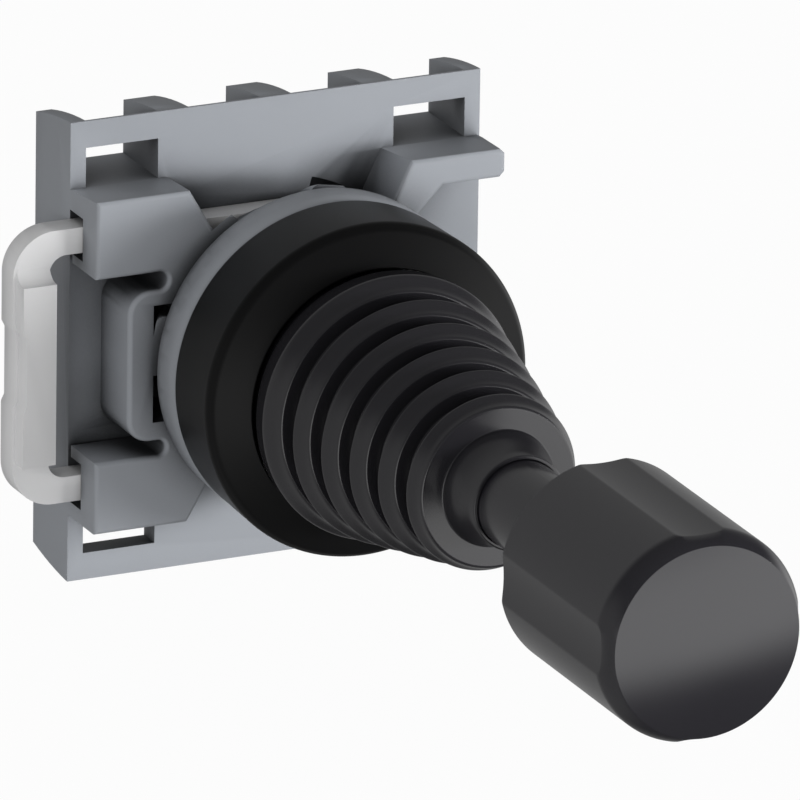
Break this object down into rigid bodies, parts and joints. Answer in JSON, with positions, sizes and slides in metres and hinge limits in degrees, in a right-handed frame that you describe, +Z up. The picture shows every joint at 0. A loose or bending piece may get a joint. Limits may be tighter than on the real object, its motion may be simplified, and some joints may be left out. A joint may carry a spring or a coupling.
{
  "type": "two-axis industrial joystick switch for a 22 mm panel hole",
  "caption": "Panel-mount industrial joystick with a round black knob on a bellows boot, a black bezel, a grey collar ring, and a grey ribbed holder with a sliding lock bail behind it.",
  "frame": {"origin": "centre of the panel hole in the plane of the seal's rear face, which rests on the panel", "axes": "+Y from the operator through the panel to the rear, the stick points along -Y; +Z up; +X right as the operator sees it"},
  "size_m": [0.0466, 0.0975, 0.0432],
  "materials": {
    "grey_plastic": "moulded, fine matt",
    "pale_plastic": "moulded, matt",
    "black_plastic": "moulded, satin",
    "black_rubber": "moulded, satin",
    "plain_steel": "turned",
    "spring_steel": "drawn",
    "nylon": "moulded",
    "brass": "turned and knurled"
  },
  "bodies": {
    "root": {"holder_frame": "grey_plastic", "head_body": "black_plastic", "guide_cover": "black_plastic", "guide_circlip": "spring_steel", "bezel_ring": "black_plastic", "collar_ring": "grey_plastic", "panel_seal": "black_rubber", "gate_plate": "plain_steel", "bellows_boot": "black_rubber", "plunger_spring_up": "spring_steel", "plunger_spring_down": "spring_steel", "plunger_spring_left": "spring_steel", "plunger_spring_right": "spring_steel"},
    "cradle": {"gimbal_ring": "plain_steel", "gimbal_pins": "plain_steel"},
    "stick": {"pivot_hub": "plain_steel", "cross_pin": "plain_steel", "stick_shaft": "plain_steel", "shaft_sleeve": "black_plastic", "rocker": "nylon", "knob_insert": "brass", "knob": "black_plastic"},
    "plunger_up_body": {"plunger_up": "nylon"},
    "plunger_down_body": {"plunger_down": "nylon"},
    "plunger_left_body": {"plunger_left": "nylon"},
    "plunger_right_body": {"plunger_right": "nylon"},
    "lock": {"lock_slide": "pale_plastic"}
  },
  "joints": [
    {"name": "tilt_up_down", "type": "hinge", "parent": "root", "child": "cradle", "pos_m": [0, -0.0062, 0], "axis": [1, 0, 0], "range_deg": [-15, 15], "stiffness_Nm_per_rad": 1.2, "deforming": ["bellows_boot"]},
    {"name": "tilt_left_right", "type": "hinge", "parent": "cradle", "child": "stick", "pos_m": [0, -0.0062, 0], "axis": [0, 0, 1], "range_deg": [-15, 15], "stiffness_Nm_per_rad": 1.2, "deforming": ["bellows_boot"]},
    {"name": "push_up", "type": "slide", "parent": "root", "child": "plunger_up_body", "axis": [0, 1, 0], "range_m": [-0.0013, 0.0013], "deforming": ["plunger_spring_up"]},
    {"name": "push_down", "type": "slide", "parent": "root", "child": "plunger_down_body", "axis": [0, 1, 0], "range_m": [-0.0013, 0.0013], "deforming": ["plunger_spring_down"]},
    {"name": "push_left", "type": "slide", "parent": "root", "child": "plunger_left_body", "axis": [0, 1, 0], "range_m": [-0.0013, 0.0013], "deforming": ["plunger_spring_left"]},
    {"name": "push_right", "type": "slide", "parent": "root", "child": "plunger_right_body", "axis": [0, 1, 0], "range_m": [-0.0013, 0.0013], "deforming": ["plunger_spring_right"]},
    {"name": "lock_pull", "type": "slide", "parent": "root", "child": "lock", "axis": [1, 0, 0], "range_m": [-0.008, 0]}
  ],
  "couplings": [
    {"joint": "push_up", "follows": "tilt_up_down", "m_per_rad": -0.0048},
    {"joint": "push_down", "follows": "tilt_up_down", "m_per_rad": 0.0048},
    {"joint": "push_right", "follows": "tilt_left_right", "m_per_rad": 0.0048},
    {"joint": "push_left", "follows": "tilt_left_right", "m_per_rad": -0.0048}
  ]
}
